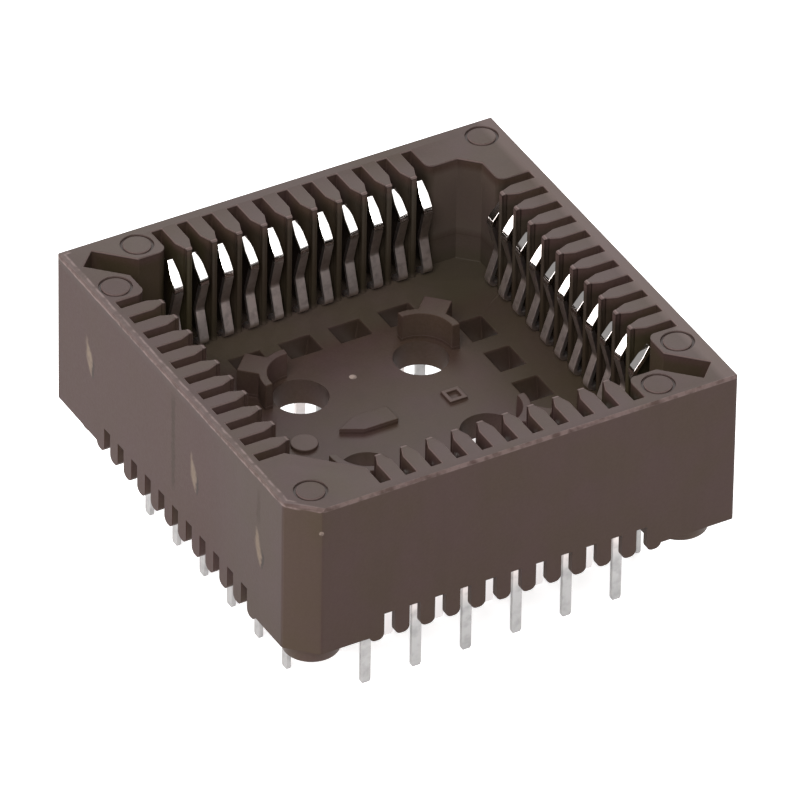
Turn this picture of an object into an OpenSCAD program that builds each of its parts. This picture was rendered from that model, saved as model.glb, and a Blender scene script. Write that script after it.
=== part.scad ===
// Through-hole socket for a square leaded chip carrier.
// A moulded housing holds one stamped spring contact behind every lead of the chip.
// The origin is the middle of the solder tail grid on the board, with +Z up and pin one towards -X.

/* [Contact grid] */
// Distance between neighbouring contacts
pitch = 1.27; // [1.2:0.01:1.6]
// Contacts on each side, odd so that one lies on the centre line
contacts_per_side = 11; // [9:2:13]

/* [Housing] */
// Height of the rim above the board
rim_height = 8.7; // [8.2:0.1:10]
// Depth of the chip pocket below the rim
pocket_depth = 5.5; // [5:0.1:6]
// Thickness of the pocket floor
floor_thickness = 1.3; // [1:0.1:1.6]
// Gap between the board and the wall's lower edge
stand_off = 0.8; // [0.5:0.05:0.9]
// Wall left outside the contact slots
rim_wall = 0.55; // [0.4:0.05:1.2]
// Width of a contact slot
slot_width = 0.55; // [0.5:0.01:0.65]
// Length of a contact slot, from the tooth tip to its outer end
slot_length = 1.75; // [1.6:0.05:2.4]
// How far the tooth tips stand inside the outer tail row
tooth_overhang = 0.14; // [0.05:0.01:0.25]
// Width of a tooth at its tip
tooth_tip_width = 0.34; // [0.25:0.01:0.5]
// Length over which a tooth narrows to its tip
tooth_taper = 0.5; // [0.35:0.05:0.8]
// How far a tooth's slim nose stands in front of its tip
nose_reach = 0.26; // [0.15:0.01:0.3]
// Width of the nose, whose end is half round
nose_width = 0.3; // [0.2:0.01:0.33]
// Radius of the nose's top, over which the chip's leads slide in
nose_round = 0.33; // [0.31:0.01:0.5]
// Setback of the corner blocks behind the tooth tips
block_setback = 0.22; // [0.1:0.02:0.4]
// Setback of the first corner's slant behind the tooth tips, beside its end slots
key_setback = 0.31; // [0.2:0.01:0.4]
// Rounding of the corner blocks beside the end slots
block_round = 0.4; // [0.1:0.05:0.5]
// Leg of the outer chamfer that marks the first corner
key_chamfer = 1.25; // [0.8:0.05:1.8]
// Leg of the chamfer in the pocket corner opposite the first
pocket_chamfer = 0.82; // [0.4:0.02:1.2]
// Width of the diagonal slots that take the chip extractor
extractor_width = 1.25; // [1:0.05:1.6]

/* [Underside] */
// Thickness of the notched skirt
skirt_wall = 0.35; // [0.3:0.05:0.6]
// How far the skirt's teeth reach below the wall's lower edge
skirt_drop = 0.25; // [0.1:0.05:0.3]
// Rounding of the skirt's tooth ends
skirt_round = 0.3; // [0.1:0.05:0.34]
// Diameter of the standing feet
foot_diameter = 2.6; // [1.6:0.1:3]
// Distance from the wall's face to a foot's centre
foot_inset = 1.75; // [1.6:0.05:2.4]

/* [Pocket floor] */
// Length of a floor window along its wall
window_length = 1.6; // [1:0.1:1.9]
// Width of a floor window across its wall
window_width = 1.3; // [0.8:0.1:1.6]
// Diameter of the push-out holes
push_hole_diameter = 2.55; // [1.6:0.05:2.8]
// Distance from the inner tail row to a push-out hole's centre
push_hole_inset = 3.3; // [2.8:0.1:3.6]
// Gap between a push-out hole and the chip seat around it
seat_gap = 0.24; // [0.1:0.02:0.3]
// Thickness of a chip seat's curved wall
seat_wall = 0.38; // [0.3:0.02:0.6]
// Angle that the curved wall covers
seat_sweep = 100; // [80:5:120]
// Width of the tail behind the curved wall
seat_tail_width = 1.3; // [0.8:0.1:1.5]
// Distance from the push-out hole's centre to the end of the tail
seat_tail_reach = 2.8; // [2.4:0.1:3]
// Height of the chip seats above the floor
seat_height = 1.35; // [0.8:0.05:2]
// Height of the raised arrow
arrow_height = 0.25; // [0.1:0.05:0.4]
// Height of the raised dot and square
low_mark_height = 0.15; // [0.1:0.01:0.3]
// Distance of the raised marks from the centre line
mark_aside = 0.15; // [0:0.01:0.3]
// Diameter of the pin-one dot
dot_diameter = 1.25; // [0.8:0.05:1.6]
// Distance from the inner tail row to the dot's centre
dot_inset = 1.71; // [1.6:0.01:2]
// Distance from the dot's centre to the arrow's tip
arrow_gap = 1.74; // [1.2:0.01:2]
// Length of the arrow
arrow_length = 2.73; // [1.6:0.01:3]
// Length of the arrow's point
arrow_head = 1.02; // [0.5:0.01:1.2]
// Width of the arrow
arrow_width = 1.1; // [0.6:0.02:1.3]
// Side of the square frame left by a mould insert
square_mark = 0.9; // [0.6:0.05:1.2]
// Width of the square frame's sides
square_mark_wall = 0.2; // [0.1:0.02:0.25]
// Distance from the middle of the floor to the square mark
square_mark_offset = 2.95; // [2:0.05:3.4]

/* [Ejector marks] */
// Diameter of the ring left by a mould ejector
ejector_diameter = 1.55; // [1:0.05:1.7]
// Width of the ring
ejector_groove = 0.13; // [0.08:0.01:0.2]
// Depth of the ring
ejector_depth = 0.08; // [0.04:0.01:0.15]
// Distance from the wall's face to the marks beside the extractor slots
ejector_inset = 1.1; // [0.9:0.05:1.2]
// Distance from the walls' faces to the mark in the chamfered corner
ejector_key_inset = 1.5; // [1.4:0.05:1.7]

/* [Contacts] */
// Thickness of the contact strip
strip = 0.22; // [0.16:0.01:0.25]
// Width of the spring arm
arm_width = 0.46; // [0.35:0.01:0.48]
// Width of the spring arm at its tip
arm_tip_width = 0.24; // [0.2:0.01:0.34]
// Height over which the arm narrows to its tip
arm_tip_taper = 0.45; // [0.2:0.05:1]
// Width of the solder tails
tail_width = 0.48; // [0.4:0.01:0.5]
// Length of the tails below the board plane
tail_length = 3.4; // [2.5:0.05:4.5]
// Length over which a tail narrows to its tip
tail_taper = 0.14; // [0.05:0.01:0.6]
// Width of a tail at its tip
tail_tip_width = 0.38; // [0.15:0.01:0.4]
// Height of the barb's lower end above the floor's underside
barb_start = 0.32; // [0.1:0.02:0.4]
// Depth of the barb's upper end below the pocket floor
barb_depth = 0.16; // [0.08:0.02:0.3]
// Clearance between the barb and each side of its slot
barb_clearance = 0.01; // [0.005:0.005:0.03]
// Clearance between the stem and its floor slot, front and back
stem_clearance = 0.03; // [0.01:0.01:0.06]
// Height of the spring's foot above the floor
foot_lift = 0.2; // [0.18:0.01:0.4]
// How far the spring's foot lies inside the tail row
foot_inside = 0.58; // [0.5:0.01:0.8]
// How far the waist lies inside the tail row
waist_inset = 0.03; // [0:0.01:0.1]
// How far the crest stands in front of the teeth's noses
preload = 0.08; // [0.04:0.01:0.2]
// Depth of the crest below the rim
crest_drop = 1.95; // [1.8:0.05:2.4]
// Depth of the lead-in's end below the rim
lead_in_drop = 0.83; // [0.5:0.01:1]
// Run of the lead-in, from the crest outwards
lead_in_run = 0.88; // [0.7:0.01:1.2]
// Bend radius at the foot
foot_radius = 0.22; // [0.18:0.01:0.26]
// Bend radius at the waist
waist_radius = 0.6; // [0.3:0.05:1]
// Bend radius at the crest
crest_radius = 0.45; // [0.3:0.05:0.8]
// Gap between the pocket floor's underside and an inner contact's strap
strap_gap = 0.05; // [0.02:0.01:0.15]
// Straight length at each end of a strap
strap_straight = 0.5; // [0.4:0.05:0.7]

/* [Hidden] */
bend_steps = 8;
over = 1;
last_slot = (contacts_per_side - 1) / 2 * pitch;
row_in = last_slot;
row_out = row_in + 2 * pitch;

tooth_tip = row_out - tooth_overhang;
tooth_shoulder = tooth_tip + tooth_taper;
nose_tip = tooth_tip - nose_reach;
slot_end = tooth_tip + slot_length;
block_face = tooth_tip + block_setback;
key_face = tooth_tip + key_setback;
body_half = slot_end + rim_wall;
mouth_half = (pitch - tooth_tip_width) / 2;
extractor_leg = extractor_width / sqrt(2);
extractor_end = slot_end - extractor_leg / 2;

floor_top = rim_height - pocket_depth;
floor_under = floor_top - floor_thickness;
floor_root = floor_thickness / 2;
skirt_half = last_slot + pitch / 2;
skirt_tooth = pitch - slot_width;
skirt_tip = stand_off - skirt_drop;
skirt_curve = min(skirt_round, skirt_tooth / 2);

push_hole = row_in - push_hole_inset;
seat_radius = push_hole_diameter / 2 + seat_gap;
dot_x = -(row_in - dot_inset);
arrow_tip_x = dot_x + arrow_gap;

foot_z = floor_top + foot_lift;
crest_z = rim_height - crest_drop;
waist_z = (foot_z + crest_z) / 2;
lead_z = rim_height - lead_in_drop;
foot_r = row_out - foot_inside;
waist_r = row_out - waist_inset;
crest_r = nose_tip - preload;
lead_r = crest_r + lead_in_run;
strap_z = floor_under - strap_gap - strip / 2;
strap_lap = (strap_straight - foot_radius) / 2;
barb_width = slot_width - 2 * barb_clearance;

plastic_colour = "#6e625f";
tin_colour = "#d9d8d4";

contact_count = 4 * contacts_per_side;
function two_digits(n) = n < 10 ? str("0", n) : str(n);
function contact_name(pin) = str("contact_", two_digits(pin));

// Sides 0 to 3 are front, right, back and left. Each is drawn as the front side,
// with x along the wall in the order of the pins and the distance from the middle along -y.
function along(slot) = slot * pitch - last_slot;
function is_inner(slot) = slot % 2 == 1;
function turned(p, side) = side == 0 ? p : turned([-p.y, p.x], side - 1);
module on_side(side) rotate(90 * side) children();
module each_side() for (side = [0:3]) on_side(side) children();

// Plan of the chip pocket with its contact slots, followed along one side.
// A slot widens to its mouth between teeth, and has a square edge beside a corner block.
function tooth_mouth(face) = [[mouth_half, -face], [slot_width / 2, -tooth_shoulder]];
function block_mouth() = [[slot_width / 2, -block_face]];
function mouth_before(side, slot) =
    slot > 0 ? tooth_mouth(tooth_tip) : side == 0 ? tooth_mouth(key_face) : block_mouth();
function mouth_after(side, slot) =
    slot < contacts_per_side - 1 ? tooth_mouth(tooth_tip)
    : side == 3 ? tooth_mouth(key_face) : block_mouth();
function slot_outline(side, slot) =
    let (x = along(slot))
    concat(
        [for (p = mouth_before(side, slot)) [x - p.x, p.y]],
        [[x - slot_width / 2, -slot_end], [x + slot_width / 2, -slot_end]],
        reversed([for (p = mouth_after(side, slot)) [x + p.x, p.y]])
    );
function chamfer_corner() = [
    [block_face - pocket_chamfer, -block_face],
    [block_face, -block_face + pocket_chamfer]
];
function extractor_corner() = [
    [block_face - extractor_leg, -block_face],
    [extractor_end - extractor_leg / 2, -extractor_end - extractor_leg / 2],
    [extractor_end + extractor_leg / 2, -extractor_end + extractor_leg / 2],
    [block_face, -block_face + extractor_leg]
];
// The first corner, after the left side, stays straight from slot to slot
function corner_outline(side) = side == 3 ? [] : side == 1 ? chamfer_corner() : extractor_corner();
function side_outline(side) = concat(
    [for (slot = [0:contacts_per_side - 1]) each slot_outline(side, slot)],
    corner_outline(side)
);
function pocket_outline() = [
    for (side = [0:3])
        for (p = side_outline(side))
            turned(p, side)
];

// What the rounding takes off a corner block beside the last slot of a side
module block_rounding() {
    translate([last_slot + slot_width / 2 + block_round, -block_face - block_round])
        difference() {
            translate([-block_round - slot_width / 2, 0])
                square(block_round + slot_width / 2);
            circle(block_round, $fn = 48);
        }
}

// The slim nose in front of a tooth, from its half round end back into the tooth
module nose_plan() {
    middle = nose_tip + nose_width / 2;
    translate([0, -middle])
        circle(d = nose_width, $fn = 48);
    translate([-nose_width / 2, -tooth_shoulder])
        square([nose_width, tooth_shoulder - middle]);
}

module pocket_plan() {
    difference() {
        polygon(pocket_outline());
        each_side()
            for (slot = [1:contacts_per_side - 1])
                translate([along(slot) - pitch / 2, 0])
                    nose_plan();
    }
    for (side = [0:2]) {
        on_side(side)
            block_rounding();
        on_side(side + 1)
            mirror([1, 0])
                block_rounding();
    }
}

// What the rounded tops of the noses take off the teeth of the front side
module nose_cut() {
    translate([-last_slot, -tooth_tip, rim_height - nose_round])
        rotate([90, 0, 90])
            linear_extrude(2 * last_slot)
                difference() {
                    square(nose_round + over);
                    circle(nose_round, $fn = 48);
                }
}

module body_plan() {
    key = body_half - key_chamfer;
    polygon([
        [-key, -body_half],
        [body_half, -body_half],
        [body_half, body_half],
        [-body_half, body_half],
        [-body_half, -key]
    ]);
}

// Underside hollow for the tails, open through all four walls where the skirt's teeth hang
module underside_hollow() {
    reach = body_half + over;
    translate([0, 0, -over])
        linear_extrude(floor_under + over)
            union() {
                square([2 * skirt_half, 2 * reach], center = true);
                square([2 * reach, 2 * skirt_half], center = true);
            }
}

// One round-ended tooth of the skirt, seen from the front, with its root in the wall above the hollow
module skirt_tooth_face() {
    root_z = floor_under + skirt_wall;
    shoulder_z = skirt_tip + skirt_curve;
    flat = skirt_tooth / 2 - skirt_curve;
    translate([-skirt_tooth / 2, shoulder_z])
        square([skirt_tooth, root_z - shoulder_z]);
    if (flat > 0)
        translate([-flat, skirt_tip])
            square([2 * flat, skirt_curve]);
    for (x = [-flat, flat])
        translate([x, shoulder_z])
            circle(skirt_curve, $fn = 32);
}

module skirt_side() {
    for (tooth = [0:contacts_per_side])
        translate([along(tooth) - pitch / 2, -body_half + skirt_wall, 0])
            rotate([90, 0, 0])
                linear_extrude(skirt_wall)
                    skirt_tooth_face();
}

module floor_openings() {
    depth = floor_thickness + 2 * over;
    stem_slot = strip + 2 * stem_clearance;
    translate([0, 0, floor_under - over]) {
        each_side() {
            for (slot = [0:contacts_per_side - 1])
                translate([along(slot) - slot_width / 2, -row_out - stem_slot / 2, 0])
                    cube([slot_width, stem_slot, depth]);
            for (slot = [1:2:contacts_per_side - 3])
                translate([along(slot + 1) - window_length / 2, -row_in - window_width / 2, 0])
                    cube([window_length, window_width, depth]);
            translate([push_hole, -push_hole, 0])
                cylinder(d = push_hole_diameter, h = depth, $fn = 64);
        }
    }
}

// Curved wall beside each push-out hole, with a tail towards the corner, on which the chip rests
module chip_seats() {
    wall_middle = seat_radius + seat_wall / 2;
    height = seat_height + floor_root;
    each_side()
        translate([push_hole, -push_hole, floor_top - floor_root])
            rotate(-45) {
                rotate(-seat_sweep / 2)
                    rotate_extrude(angle = seat_sweep, $fn = 64)
                        translate([seat_radius, 0])
                            square([seat_wall, height]);
                translate([wall_middle, -seat_tail_width / 2, 0])
                    cube([seat_tail_reach - wall_middle, seat_tail_width, height]);
            }
}

module floor_marks() {
    shoulder_x = arrow_tip_x + arrow_head;
    end_x = arrow_tip_x + arrow_length;
    translate([0, -mark_aside, floor_top - floor_root]) {
        linear_extrude(floor_root + arrow_height)
            polygon([
                [arrow_tip_x, 0],
                [shoulder_x, -arrow_width / 2],
                [end_x, -arrow_width / 2],
                [end_x, arrow_width / 2],
                [shoulder_x, arrow_width / 2]
            ]);
        linear_extrude(floor_root + low_mark_height) {
            translate([dot_x, 0])
                circle(d = dot_diameter, $fn = 48);
            translate([square_mark_offset, 0])
                difference() {
                    square(square_mark, center = true);
                    square(square_mark - 2 * square_mark_wall, center = true);
                }
        }
    }
}

module ejector_ring() {
    rotate_extrude($fn = 48)
        translate([ejector_diameter / 2 - ejector_groove, -ejector_depth])
            square([ejector_groove, ejector_depth + over]);
}

module ejector_marks() {
    beside = last_slot + pitch;
    edge = body_half - ejector_inset;
    key_edge = body_half - ejector_key_inset;
    translate([0, 0, rim_height]) {
        for (p = [[beside, -edge], [edge, -beside], [-beside, edge], [-edge, beside]])
            translate(p)
                ejector_ring();
        translate([-key_edge, -key_edge])
            ejector_ring();
        translate([edge, edge])
            ejector_ring();
    }
}

module feet() {
    place = body_half - foot_inset;
    each_side()
        translate([place, -place, 0])
            cylinder(d = foot_diameter, h = stand_off + over, $fn = 64);
}

module housing() {
    color(plastic_colour)
        difference() {
            union() {
                difference() {
                    translate([0, 0, stand_off])
                        linear_extrude(rim_height - stand_off)
                            body_plan();
                    translate([0, 0, floor_top])
                        linear_extrude(pocket_depth + over)
                            pocket_plan();
                    each_side()
                        nose_cut();
                    underside_hollow();
                }
                each_side()
                    skirt_side();
                feet();
                chip_seats();
                floor_marks();
            }
            floor_openings();
            ejector_marks();
        }
}

// A bent strip is drawn from the side as a path of corners, each with a bend radius.
// The two faces of the strip lie half its thickness to the left and right of the path.
function unit(v) = v / norm(v);
function left_of(d) = [-d.y, d.x];
function spun(v, a) = [v.x * cos(a) - v.y * sin(a), v.x * sin(a) + v.y * cos(a)];
function turn_angle(d1, d2) = atan2(d1.x * d2.y - d1.y * d2.x, d1 * d2);
function bend_limit(before, corner, after, half_turn) =
    min(norm(corner - before), norm(after - corner)) / 2 / tan(half_turn);
function bend_points(before, corner, after, radius, shift) =
    let (
        d1 = unit(corner - before),
        d2 = unit(after - corner),
        a = turn_angle(d1, d2),
        r = min(radius, bend_limit(before, corner, after, abs(a) / 2)),
        start = corner - d1 * r * tan(abs(a) / 2),
        centre = start + sign(a) * r * left_of(d1)
    )
    [
        for (step = [0:bend_steps])
            centre - (sign(a) * r - shift) * spun(left_of(d1), a * step / bend_steps)
    ];
function strip_side(path, radii, shift) =
    let (last = len(path) - 1)
    concat(
        [path[0] + shift * left_of(unit(path[1] - path[0]))],
        [
            for (i = [1:last - 1])
                each bend_points(path[i - 1], path[i], path[i + 1], radii[i - 1], shift)
        ],
        [path[last] + shift * left_of(unit(path[last] - path[last - 1]))]
    );
function reversed(list) = [for (i = [len(list) - 1:-1:0]) list[i]];
function strip_outline(path, radii) =
    concat(strip_side(path, radii, strip / 2), reversed(strip_side(path, radii, -strip / 2)));

// Stands a side view, drawn as distance from the middle and height, across one contact position
module across(width)
    rotate([90, 0, -90])
        linear_extrude(width, center = true)
            children();

// Path of the spring above the stem, from the floor to the lead-in
spring_path = [
    [row_out, foot_z],
    [foot_r, foot_z],
    [waist_r, waist_z],
    [crest_r, crest_z],
    [lead_r, lead_z]
];
spring_radii = [foot_radius, foot_radius, waist_radius, crest_radius];

// Front view of a contact: spring arm, barb in the floor slot and shank below it
module arm_and_barb_face(bottom_z) {
    barb_low = floor_under + barb_start;
    barb_high = floor_top - barb_depth;
    tip_low = lead_z - arm_tip_taper;
    tip_high = lead_z + strip / 2;
    polygon([
        [-tail_width / 2, bottom_z],
        [tail_width / 2, bottom_z],
        [tail_width / 2, barb_low],
        [barb_width / 2, barb_high],
        [arm_width / 2, barb_high],
        [arm_width / 2, tip_low],
        [arm_tip_width / 2, tip_high],
        [-arm_tip_width / 2, tip_high],
        [-arm_width / 2, tip_low],
        [-arm_width / 2, barb_high],
        [-barb_width / 2, barb_high],
        [-tail_width / 2, barb_low]
    ]);
}

module tail_face(top_z) {
    polygon([
        [-tail_tip_width / 2, -tail_length],
        [tail_tip_width / 2, -tail_length],
        [tail_width / 2, -tail_length + tail_taper],
        [tail_width / 2, top_z],
        [-tail_width / 2, top_z],
        [-tail_width / 2, -tail_length + tail_taper]
    ]);
}

// Turns a front view into a block that reaches across the whole contact
module through_contact()
    rotate([90, 0, 0])
        linear_extrude(body_half)
            children();

// Contact with its tail straight below the stem, in the outer row
module outer_contact() {
    path = concat([[row_out, -tail_length]], spring_path);
    intersection() {
        across(2 * slot_width)
            polygon(strip_outline(path, spring_radii));
        through_contact() {
            tail_face(floor_under);
            arm_and_barb_face(floor_under);
        }
    }
}

// Contact whose stem turns in under the floor, with a strap to a tail in the inner row
module inner_contact() {
    strap_start = row_out - strap_straight;
    strap_end = row_in + strap_straight;
    stem_path = concat([[strap_start, strap_z], [row_out, strap_z]], spring_path);
    tail_path = [[strap_end, strap_z], [row_in, strap_z], [row_in, -tail_length]];
    intersection() {
        across(2 * slot_width)
            polygon(strip_outline(stem_path, concat([foot_radius], spring_radii)));
        through_contact()
            arm_and_barb_face(strap_z - strip);
    }
    translate([0, 0, strap_z - strip / 2])
        linear_extrude(strip)
            polygon([
                [-tail_width / 2, -strap_start],
                [-tail_width / 2, -strap_start - strap_lap],
                [tail_width / 2, -strap_start - strap_lap],
                [tail_width / 2, -strap_start],
                [pitch + tail_width / 2, -strap_end],
                [pitch + tail_width / 2, -strap_end + strap_lap],
                [pitch - tail_width / 2, -strap_end + strap_lap],
                [pitch - tail_width / 2, -strap_end]
            ]);
    translate([pitch, 0, 0])
        intersection() {
            across(tail_width)
                polygon(strip_outline(tail_path, [foot_radius]));
            through_contact()
                tail_face(floor_under);
        }
}

// Pin one is the middle of the left side, and the numbers run anticlockwise seen from above
module contact(pin) {
    first = 3 * contacts_per_side + (contacts_per_side - 1) / 2;
    place = (first + pin - 1) % contact_count;
    slot = place % contacts_per_side;
    color(tin_colour)
        on_side(floor(place / contacts_per_side))
            translate([along(slot), 0, 0])
                if (is_inner(slot))
                    inner_contact();
                else
                    outer_contact();
}

housing();
for (pin = [1:contact_count])
    contact(pin);
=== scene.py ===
from math import copysign, cos, radians, sin

import bpy
from mathutils import Matrix, Vector


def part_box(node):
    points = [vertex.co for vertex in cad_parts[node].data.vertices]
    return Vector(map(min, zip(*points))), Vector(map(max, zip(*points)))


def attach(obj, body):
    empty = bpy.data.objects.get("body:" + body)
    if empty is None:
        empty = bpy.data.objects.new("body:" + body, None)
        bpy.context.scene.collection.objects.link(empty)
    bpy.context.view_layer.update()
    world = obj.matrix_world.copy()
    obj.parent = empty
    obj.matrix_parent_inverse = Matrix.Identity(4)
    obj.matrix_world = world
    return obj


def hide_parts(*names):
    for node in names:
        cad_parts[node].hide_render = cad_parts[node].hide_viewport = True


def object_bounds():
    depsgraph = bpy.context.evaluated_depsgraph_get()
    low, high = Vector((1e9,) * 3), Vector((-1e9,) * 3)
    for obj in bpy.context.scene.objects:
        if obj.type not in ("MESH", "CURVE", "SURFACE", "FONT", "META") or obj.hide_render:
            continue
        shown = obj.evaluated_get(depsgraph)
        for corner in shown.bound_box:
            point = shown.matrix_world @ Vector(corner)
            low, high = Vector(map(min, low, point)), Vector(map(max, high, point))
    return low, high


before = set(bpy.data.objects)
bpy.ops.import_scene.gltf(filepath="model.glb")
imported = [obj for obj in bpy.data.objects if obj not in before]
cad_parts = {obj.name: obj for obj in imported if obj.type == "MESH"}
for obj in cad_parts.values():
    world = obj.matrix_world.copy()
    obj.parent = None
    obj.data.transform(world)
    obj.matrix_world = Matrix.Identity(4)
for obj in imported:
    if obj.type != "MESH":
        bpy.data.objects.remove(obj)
cad_box = [list(corner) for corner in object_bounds()]

# Camera
# A long lens some way off looks down over the chamfered corner, so that two outer walls,
# the pocket and the far rows of contacts all show. It has a slight roll, as a hand-set camera has.
MM = 0.001
view_azimuth = radians(-29.67)
view_elevation = radians(36.71)
view_roll = radians(0.91)
view_distance = 599.6 * MM
view_aim_right = 0.18 * MM
view_aim_up = -3.81 * MM
rim_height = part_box("housing")[1].z

backward = Vector((
    sin(view_azimuth) * cos(view_elevation),
    -cos(view_azimuth) * cos(view_elevation),
    sin(view_elevation),
))
level_right = Vector((cos(view_azimuth), sin(view_azimuth), 0))
level_up = backward.cross(level_right)
view_right = level_right * cos(view_roll) + level_up * sin(view_roll)
view_up = level_up * cos(view_roll) - level_right * sin(view_roll)
bpy.ops.object.camera_add(
    location=Vector((0, 0, rim_height)) + backward * view_distance
    + view_right * view_aim_right + view_up * view_aim_up,
    rotation=Matrix((view_right, view_up, backward)).transposed().to_euler(),
)
camera = bpy.context.object
camera.data.sensor_width = 36
camera.data.lens = 611.6
camera.data.clip_end = 10
bpy.context.scene.camera = camera


# Studio
# A wide sheet of white board, lit a little from within so that the tails throw no shadow, with
# four large soft panels in a dim white room. The tin mirrors the panels, and all of them light
# the plastic.
def new_material(name):
    made = bpy.data.materials.new(name)
    made.use_nodes = True
    return made, made.node_tree.nodes["Principled BSDF"]


board_size = 1.2
board_glow = 0.7
bpy.ops.object.select_all(action="DESELECT")
bpy.ops.mesh.primitive_plane_add(size=board_size, location=(0, 0, cad_box[0][2]))
floor = bpy.context.object
floor.name = "studio_floor"
floor_paint, shader = new_material("white board")
shader.inputs["Base Color"].default_value = (0.9, 0.9, 0.9, 1)
shader.inputs["Roughness"].default_value = 0.9
shader.inputs["Emission Color"].default_value = (1, 1, 1, 1)
shader.inputs["Emission Strength"].default_value = board_glow
floor.data.materials.append(floor_paint)


def soft_light(name, azimuth, elevation, distance, size, power, colour=(1, 1, 1)):
    level = distance * cos(radians(elevation))
    spot = Vector((
        level * cos(radians(azimuth)),
        level * sin(radians(azimuth)),
        distance * sin(radians(elevation)),
    ))
    facing = spot.to_track_quat("Z", "Y").to_euler()
    bpy.ops.object.light_add(type="AREA", location=spot, rotation=facing)
    light = bpy.context.object
    light.name = name
    light.data.size = size
    light.data.energy = power
    light.data.color = colour


soft_light("panel_by_camera", azimuth=-133, elevation=50, distance=0.75, size=0.45, power=4.8)
soft_light(
    "panel_at_left", azimuth=161, elevation=21, distance=0.6, size=0.4, power=1.85,
    colour=(1, 0.93, 0.91),
)
soft_light("panel_behind", azimuth=60, elevation=37, distance=0.75, size=0.5, power=4.0)
soft_light("panel_in_front", azimuth=-61, elevation=32, distance=0.75, size=0.44, power=1.0)

room_light = 0.32
room = bpy.data.worlds.new("white room")
room.use_nodes = True
room.node_tree.nodes["Background"].inputs["Color"].default_value = (1, 1, 1, 1)
room.node_tree.nodes["Background"].inputs["Strength"].default_value = room_light
bpy.context.scene.world = room
bpy.context.scene.view_settings.view_transform = "Standard"


# Housing
# One injection moulding in brown-grey filled plastic, with a fine matt skin and the slightly
# rounded edges that a mould leaves. Its outer rim is painted paler, as wear and as highlight, and
# three gate scars and two weld lines mark its left wall, where the plastic ran in. Painted shade,
# light and reflections darken or lighten it in places. The contacts are pushed up into it.
def merged_copy(node_name, piece_name):
    bpy.ops.object.select_all(action="DESELECT")
    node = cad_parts[node_name]
    node.select_set(True)
    bpy.context.view_layer.objects.active = node
    bpy.ops.object.duplicate()
    piece = bpy.context.object
    piece.name = piece_name
    for key in list(piece.keys()):
        del piece[key]
    bpy.ops.object.mode_set(mode="EDIT")
    bpy.ops.mesh.select_all(action="SELECT")
    bpy.ops.mesh.remove_doubles(threshold=0.0005 * MM)
    bpy.ops.mesh.dissolve_limited(angle_limit=radians(0.5))
    bpy.ops.mesh.select_all(action="DESELECT")
    bpy.ops.object.mode_set(mode="OBJECT")
    return piece


def round_chosen(width, steps):
    bpy.ops.object.mode_set(mode="EDIT")
    bpy.ops.mesh.bevel(offset=width, segments=steps, affect="EDGES")
    bpy.ops.mesh.select_all(action="DESELECT")
    bpy.ops.object.mode_set(mode="OBJECT")


def bevel_edges(piece, chosen, width, steps):
    points = piece.data.vertices
    for edge in piece.data.edges:
        edge.select = chosen(points[edge.vertices[0]].co, points[edge.vertices[1]].co)
    round_chosen(width, steps)


sharp_from = radians(35)
smooth_up_to = radians(12)


def soften_edges(piece, width, steps, left_sharp):
    bpy.ops.object.mode_set(mode="EDIT")
    bpy.ops.mesh.edges_select_sharp(sharpness=sharp_from)
    bpy.ops.object.mode_set(mode="OBJECT")
    points = piece.data.vertices
    for edge in piece.data.edges:
        start, end = (points[corner].co for corner in edge.vertices)
        edge.select = edge.select and not left_sharp(start, end)
    for point in points:
        point.select = False
    round_chosen(width, steps)
    bpy.ops.object.shade_smooth_by_angle(angle=smooth_up_to)


bpy.context.tool_settings.mesh_select_mode = (False, True, False)
body_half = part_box("housing")[1].x
key_cut = 1.25 * MM
key_sum = 2 * body_half - key_cut
floor_top = rim_height - 5.5 * MM
floor_under = floor_top - 1.3 * MM
hair = 0.01 * MM
diagonal = 1.4142


def on_outline(point):
    return (
        max(abs(point.x), abs(point.y)) > body_half - hair
        or point.x + point.y < hair - key_sum
    )


corner_zone = 1.3 * MM
upright_length = 3 * MM


def outer_upright(start, end):
    on_wall = on_outline(start) and on_outline(end)
    upright = (start - end).xy.length < hair and abs(start.z - end.z) > upright_length
    return on_wall and upright and min(abs(start.x), abs(start.y)) > body_half - corner_zone


def outer_rim(start, end):
    at_top = min(start.z, end.z) > rim_height - hair
    return at_top and on_outline(start) and on_outline(end)


rim_zone, wall_zone, key_zone = 0.2 * MM, 0.3 * MM, 0.4 * MM
too_short = 0.12 * MM


def fine_or_done(start, end):
    by_rim = min(start.z, end.z) > rim_height - rim_zone
    by_wall = (
        max(abs(start.x), abs(start.y)) > body_half - wall_zone
        or start.x + start.y < key_zone - key_sum
    )
    low_down = max(start.z, end.z) < floor_top + 0.05 * MM
    return (start - end).length < too_short or low_down or by_rim and by_wall


housing = merged_copy("housing", "housing_moulding")

# the floor windows taper a little towards the underside, as the mould needs
inner_row = 6.35 * MM
window_reach, window_half, window_draft = 0.8 * MM, 0.65 * MM, 0.17 * MM
window_middles = [step * 1.27 * MM for step in (-3, -1, 1, 3)]
for point in housing.data.vertices:
    spot = point.co
    for across, along in ((0, 1), (1, 0)):
        beside = abs(abs(abs(spot[across]) - inner_row) - window_half) < hair
        for middle in window_middles:
            gap = spot[along] - middle
            at_end = abs(abs(gap) - window_reach) < hair
            if beside and at_end and abs(spot.z - floor_under) < hair:
                spot[along] -= copysign(window_draft, gap)

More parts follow.
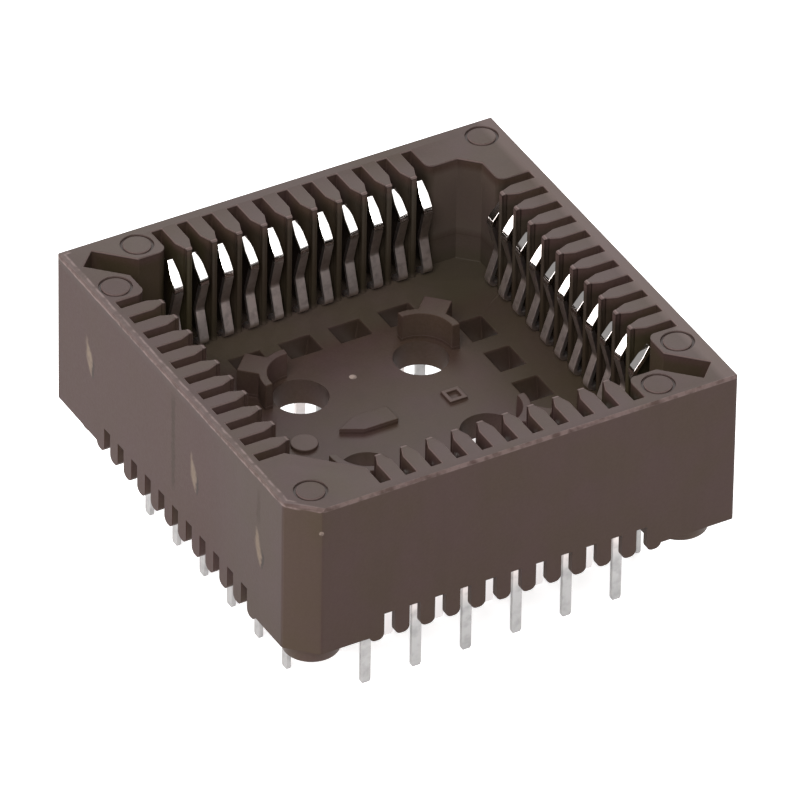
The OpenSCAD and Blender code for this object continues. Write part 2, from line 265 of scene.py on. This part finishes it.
# the rim has a narrow bevel all round, which is widened on the left, the front and the key corner
rim_bevel = 0.04 * MM
left_inset, left_fall = 0.26 * MM, 0.165 * MM
front_inset, front_fall = 0.07 * MM, 0.14 * MM
key_inset = 0.16 * MM
bevel_edges(housing, outer_rim, rim_bevel, 1)
for point in housing.data.vertices:
    spot = point.co
    on_left = spot.x < rim_bevel + hair - body_half
    on_front = spot.y < rim_bevel + hair - body_half
    on_key = spot.x + spot.y < diagonal * rim_bevel + hair - key_sum
    if spot.z > rim_height - hair:
        if on_left:
            spot.x = left_inset - body_half
        if on_front:
            spot.y = front_inset - body_half
        if on_key and on_left:
            spot.y = diagonal * key_inset - key_sum - spot.x
        if on_key and on_front:
            spot.x = diagonal * key_inset - key_sum - spot.y
    elif spot.z > rim_height - rim_bevel - hair:
        if on_left:
            spot.z = rim_height - left_fall
        elif on_front:
            spot.z = rim_height - front_fall

upright_round = 0.12 * MM
mould_round = 0.04 * MM
bevel_edges(housing, outer_upright, upright_round, 3)
soften_edges(housing, mould_round, 2, fine_or_done)


class Wire:
    """A value inside a material. Sums and products of wires add Math nodes to it."""

    def __init__(self, tree, socket=None):
        self.tree = tree
        self.socket = socket

    def add(self, kind, settings=None, sockets=None, out=0):
        made = self.tree.nodes.new("ShaderNode" + kind)
        for name, value in (settings or {}).items():
            setattr(made, name, value)
        for name, value in (sockets or {}).items():
            if isinstance(value, Wire):
                self.tree.links.new(value.socket, made.inputs[name])
            else:
                made.inputs[name].default_value = value
        if isinstance(out, tuple):
            return [Wire(self.tree, made.outputs[name]) for name in out]
        return Wire(self.tree, made.outputs[out])

    def math(self, operation, first, second=0.0, clamp=False):
        settings = {"operation": operation, "use_clamp": clamp}
        return self.add("Math", settings, {0: first, 1: second})

    def __add__(self, other):
        return self.math("ADD", self, other)

    def __sub__(self, other):
        return self.math("SUBTRACT", self, other)

    def __rsub__(self, other):
        return self.math("SUBTRACT", other, self)

    def __mul__(self, other):
        return self.math("MULTIPLY", self, other)

    def __truediv__(self, other):
        return self.math("DIVIDE", self, other)

    def __abs__(self):
        return self.math("ABSOLUTE", self)

    __radd__ = __add__
    __rmul__ = __mul__

    def least(self, other):
        return self.math("MINIMUM", self, other)

    def held(self):
        """The value, kept between 0 and 1."""
        return self.math("ADD", self, 0.0, clamp=True)

    def above(self, limit, fade):
        """A mask that is 0 up to the limit and grows to 1 over the fade beyond it."""
        return self.math("DIVIDE", self - limit, fade, clamp=True)

    def below(self, limit, fade):
        """A mask that is 0 from the limit on and grows to 1 over the fade before it."""
        return self.math("DIVIDE", limit - self, fade, clamp=True)

    def near(self, middle, reach, fade):
        """A mask that is 1 around the middle and falls to 0 at the reach, over the fade."""
        return abs(self - middle).below(reach, fade)

    def noise(self, place, scale, detail):
        sockets = {"Vector": place, "Scale": scale, "Detail": detail}
        return self.add("TexNoise", {}, sockets, out="Fac")

    def blend(self, mask, under, over):
        sockets = {0: mask, 6: under, 7: over}
        return self.add("Mix", {"data_type": "RGBA"}, sockets, out=2)

    def painted(self, mask, strength, colour):
        """This tone with a colour laid over it, where the mask is and as strongly as given."""
        return self.blend(mask * strength, self, colour)


def feed(shader, name, wire):
    wire.tree.links.new(wire.socket, shader.inputs[name])


def place_in_mm(wire):
    place = wire.add("TexCoord", out="Object")
    grown = wire.add("VectorMath", {"operation": "SCALE"}, {0: place, "Scale": 1 / MM})
    return [place] + wire.add("SeparateXYZ", {}, {"Vector": grown}, out=("X", "Y", "Z"))


wall = body_half / MM


def from_walls(x, y):
    return (wall - abs(x)).least(wall - abs(y))


# from here on, places and fades are in millimetres
plastic, shader = new_material("brown moulded plastic")
wire = Wire(plastic.node_tree)
place, x, y, z = place_in_mm(wire)
drop = rim_height / MM - z
from_key = (x + y + key_sum / MM) / diagonal
depth_in = from_walls(x, y).least(from_key)
floor_level = floor_top / MM
over_floor = z.above(floor_level + 0.1, 0.2)

# the plastic itself: mottled brown, with a fine grain and upright flow marks
body_brown, body_red = (0.046, 0.0285, 0.019, 1), (0.05, 0.028, 0.0255, 1)
grain_pale, flow_dark = (0.08, 0.054, 0.047, 1), (0.034, 0.022, 0.015, 1)
grain = wire.noise(place, 9000.0, 3.0)
mottle = wire.noise(place, 420.0, 2.0)
drawn_out = wire.add("VectorMath", {"operation": "MULTIPLY"}, {0: place, 1: (1, 1, 0.1)})
flow = wire.noise(drawn_out, 1500.0, 2.0)
tone = wire.blend(mottle.above(0.35, 0.303), body_brown, body_red)
tone = tone.painted(grain.above(0.3, 0.4), 0.25, grain_pale)
tone = tone.painted(flow.above(0.5, 0.333), 0.3, flow_dark)

# painted shade darkens the outer walls, and painted light makes the pocket's back corner paler
wall_painted_shade, corner_painted_light = (0.028, 0.0145, 0.0105, 1), (0.1, 0.078, 0.065, 1)
outer_wall_shade = from_walls(x, y).below(0.03, 0.01)
tone = tone.painted(outer_wall_shade, 0.45, wall_painted_shade)
back_corner_lit = (x + y).above(10, 2.5) * z.above(4.6, 0.333) * z.below(8.4, 0.333)
tone = tone.painted(back_corner_lit * depth_in.above(0.5, 1), 0.48, corner_painted_light)

# painted reflections of the walls make the pocket's far sides olive at their feet, and painted
# shade darkens the far teeth's flanks, the tool slots, the windows and the back seat's tail
back_foot_reflection, right_foot_reflection = (0.066, 0.064, 0.044, 1), (0.04, 0.034, 0.02, 1)
teeth_painted_shade, slot_painted_shade = (0.017, 0.013, 0.0065, 1), (0.034, 0.028, 0.013, 1)
window_painted_shade, seat_tail_painted_shade = (0.022, 0.015, 0.009, 1), (0.03, 0.021, 0.014, 1)
seat_level = 4.55
on_floor = depth_in.above(0.5, 1) * z.above(floor_level - 0.05, 0.05)
tone = tone.painted(y.above(5.5, 1) * z.below(5.5, 1.25) * on_floor, 0.3, back_foot_reflection)
tone = tone.painted(x.above(4.5, 2) * z.below(4, 0.5) * on_floor, 0.5, right_foot_reflection)
far_rows = abs(x).least(abs(y)).below(7, 0.333) * (x + y).above(0, 0.333)
far_teeth = far_rows * depth_in.above(0.8, 1) * depth_in.below(4.5, 0.333)
tone = tone.painted(far_teeth * drop.above(0.2, 0.5) * over_floor, 0.75, teeth_painted_shade)
tool_slots = abs(x - y).above(13.5, 0.5) * depth_in.above(0.6, 0.333)
tone = tone.painted(tool_slots * drop.above(0.2, 0.333) * over_floor, 0.55, slot_painted_shade)
in_windows = z.below(floor_level - 0.05, 0.1) * depth_in.above(3, 1) * depth_in.below(5.6, 0.1)
tone = tone.painted(in_windows, 0.5, window_painted_shade)
back_seat_tail = z.near(seat_level, 0.02, 0.005) * (x + y).above(10.4, 0.5)
tone = tone.painted(back_seat_tail, 0.4, seat_tail_painted_shade)

# the key corner's face is browner than the walls
key_brown = (0.043, 0.029, 0.017, 1)
tone = tone.painted(from_key.below(0.03, 0.01), 0.5, key_brown)

# the edges of the top are painted paler, as wear and as highlight; painted shade darkens the
# grooves of the rings that the mould's ejector pins pressed there; the far part of the top is
# painted greyer and paler, and its right edge paler
pale_wear_and_highlight, top_grey = (0.17, 0.122, 0.115, 1), (0.15, 0.13, 0.122, 1)
ring_painted_shade = (0.018, 0.011, 0.008, 1)
ring_depth = 0.08
ragged = wire.noise(place, 2600.0, 2.0).above(0.34, 0.25)
inside_rim = depth_in.above(0.28, 0.1)
top_edges = drop.above(0.002, 0.005) * drop.below(0.1, 0.0167)
tone = tone.painted(top_edges * inside_rim, 0.6, pale_wear_and_highlight)
tone = tone.painted(drop.near(ring_depth, 0.02, 0.005) * inside_rim, 0.8, ring_painted_shade)
on_top = drop.below(0.03, 0.0167)
far_top = (x + y).above(-2, 3.33) * (x + y).below(16, 3.33) * on_top
tone = tone.painted(far_top, 0.11, top_grey)
tone = tone.painted(x.above(wall - 0.9, 0.333) * on_top, 0.28, pale_wear_and_highlight)


def out_from_chamfer(inward, inset, fall):
    """1 on the slope of a chamfer, and more past either of its edges."""
    return inward / (inset / MM) + drop / (fall / MM)


# the rim's chamfers are painted paler too, as wear and as highlight, the left one most along
# its two edges
by_left = x.below(0.6 - wall, 0.2)
by_front = y.below(0.6 - wall, 0.2)
left_strip = out_from_chamfer(depth_in, left_inset, left_fall).below(1.3, 0.25) * by_left
tone = tone.painted(left_strip, ragged * 0.15 + 0.18, pale_wear_and_highlight)
key_strip = out_from_chamfer(from_key, key_inset, front_fall).below(1.3, 0.333) * (1 - by_left)
tone = tone.painted(key_strip, ragged * 0.2 + 0.25, pale_wear_and_highlight)
front_strip = out_from_chamfer(depth_in, front_inset, front_fall).below(1.4, 0.333)
front_strip = front_strip * by_front * (1 - by_left)
tone = tone.painted(front_strip, ragged * 0.5 + 0.1, pale_wear_and_highlight)
wander = (wire.noise(place, 1300.0, 2.0) - 0.5) * 0.16
line_inside = (depth_in + wander).near(left_inset / MM, 0.07, 0.05) * drop.below(0.05, 0.0167)
line_outside = (drop + wander).near(left_fall / MM, 0.07, 0.05) * depth_in.below(0.05, 0.0167)
left_lines = (line_inside + line_outside).held() * by_left * ragged
tone = tone.painted(left_lines, 0.75, pale_wear_and_highlight)

# the left wall is redder, with a pale scar and its shade at each gate, and two weld lines
gate_red, scar_pale = (0.032, 0.006, 0.004, 1), (0.125, 0.09, 0.062, 1)
scar_dark, weld_dark = (0.014, 0.008, 0.005, 1), (0.022, 0.008, 0.002, 1)
scar_half_height = 1.1
left_wall = x.below(0.05 - wall, 0.025)
tone = tone.painted(left_wall * y.above(-6, 3.33) * drop.above(0.3, 0.333), 0.4, gate_red)
for scar_y, scar_z in ((8.05, 5.0), (-1.65, 5.0), (-7.6, 4.9)):
    rise = (z - scar_z) / scar_half_height
    along = y - scar_y - (z - scar_z) * 0.2 + (ragged - 0.5) * 0.1
    half_width = (1 - rise * rise) * (0.32 - rise * 0.1)
    streak = left_wall * abs(along).below(half_width, 0.167) * abs(rise).below(1, 0.111)
    tone = tone.painted(streak, ragged * 0.35 + 0.6, scar_pale)
    shade = left_wall * (along + half_width).near(-0.03, 0.13, 0.0833)
    shade = shade * rise.below(0.1, 0.333) * abs(rise).below(1, 0.167)
    tone = tone.painted(shade, 0.75, scar_dark)
for line_y, line_low, line_high, strength in ((0.2, 2.7, 8.1, 0.95), (-7.6, 6.0, 8.1, 0.6)):
    line = left_wall * (y + (ragged - 0.5) * 0.08).near(line_y, 0.22, 0.125)
    line = line * z.above(line_low, 0.5) * z.below(line_high, 0.5)
    tone = tone.painted(line, strength, weld_dark)

# two pale specks, and the tops of the low marks on the floor painted paler
speck_pale = (0.27, 0.21, 0.18, 1)
for speck_x, speck_y, speck_z, reach in ((-0.3, 3.25, 3.2, 0.18), (-9.82, -11.05, 7.4, 0.13)):
    gaps = (x - speck_x, y - speck_y, z - speck_z)
    far = gaps[0] * gaps[0] + gaps[1] * gaps[1] + gaps[2] * gaps[2]
    tone = tone.painted(far.below(reach * reach, 0.00667), ragged, speck_pale)
mark_level = floor_level + 0.15
low_marks = z.near(mark_level, 0.02, 0.005) * depth_in.above(3.5, 1)
tone = tone.painted(low_marks, 0.22, pale_wear_and_highlight)

feed(shader, "Base Color", tone)
feed(shader, "Roughness", grain * 0.15 + 0.4)
shader.inputs["Specular IOR Level"].default_value = 0.12
skin = {"Strength": 0.3, "Distance": 0.01 * MM, "Height": grain}
feed(shader, "Normal", wire.add("Bump", {}, skin, out="Normal"))
housing.data.materials.clear()
housing.data.materials.append(plastic)
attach(housing, "root")
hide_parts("housing")

# Contacts
# Stamped copper alloy strip with bright tin plate, bent to a spring and pushed up into the slots.
# The contacts whose tails stand in the inner row sit a little turned in their slots.
tin, shader = new_material("bright tin plate")
wire = Wire(tin.node_tree)
place, x, y, z = place_in_mm(wire)
cloud = wire.noise(place, 2500.0, 3.0)
worn = wire.noise(place, 700.0, 2.0)
blotch = cloud.above(0.47, 0.2)

leaf_dull, leaf_bright = (0.82, 0.775, 0.75, 1), (0.9, 0.87, 0.85, 1)
arm_pale, arm_stain, arm_painted_shade = (0.75, 0.66, 0.63, 1), (0.4, 0.34, 0.32, 1), (0.24, 0.19, 0.17, 1)
tail_grey, tail_stain = (0.38, 0.372, 0.37, 1), (0.24, 0.235, 0.233, 1)
inner_tail_painted_light = (0.85, 0.82, 0.82, 1)
leaf_tone = wire.blend(worn, leaf_dull, leaf_bright)
arm_tone = wire.blend(blotch * 0.6, arm_pale, arm_stain)
# painted shade darkens the upper arms
arm_tone = arm_tone.painted(z.above(4.95, 0.2), 0.6, arm_painted_shade)
tail_tone = wire.blend(blotch * 0.5, tail_grey, tail_stain)
# painted light makes the tails of the inner row pale, though they stand in the shade under the
# body
outer_row = from_walls(x, y).below(3.5, 1)
tail_tone = wire.blend(outer_row, inner_tail_painted_light, tail_tone)
leaf = z.above(6.5, 0.333)
tone = wire.blend(leaf, arm_tone, leaf_tone)
tone = wire.blend(z.below(1, 2), tone, tail_tone)
feed(shader, "Base Color", tone)
shader.inputs["Metallic"].default_value = 1
feed(shader, "Roughness", cloud * 0.1 + 0.345 - leaf * 0.325)

strip_round = 0.025 * MM
straight_reach = 2 * MM
inner_turn = radians(-8)
turn_from = 6 * MM
for name in [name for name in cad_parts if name.startswith("contact_")]:
    low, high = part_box(name)
    strip = merged_copy(name, "spring_" + name)
    soften_edges(strip, strip_round, 2, lambda start, end: False)
    if max(high.x - low.x, high.y - low.y) > straight_reach:
        tops = [point for point in strip.data.vertices if point.co.z > turn_from]
        for point in tops:
            point.select = True
        middle = sum((point.co for point in tops), Vector()) / len(tops)
        bpy.ops.object.mode_set(mode="EDIT")
        bpy.ops.mesh.select_mode(type="VERT")
        bpy.ops.transform.rotate(value=inner_turn, orient_axis="Z", center_override=middle)
        bpy.ops.mesh.select_mode(type="EDGE")
        bpy.ops.mesh.select_all(action="DESELECT")
        bpy.ops.object.mode_set(mode="OBJECT")
    strip.data.materials.clear()
    strip.data.materials.append(tin)
    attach(strip, "root")
    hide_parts(name)
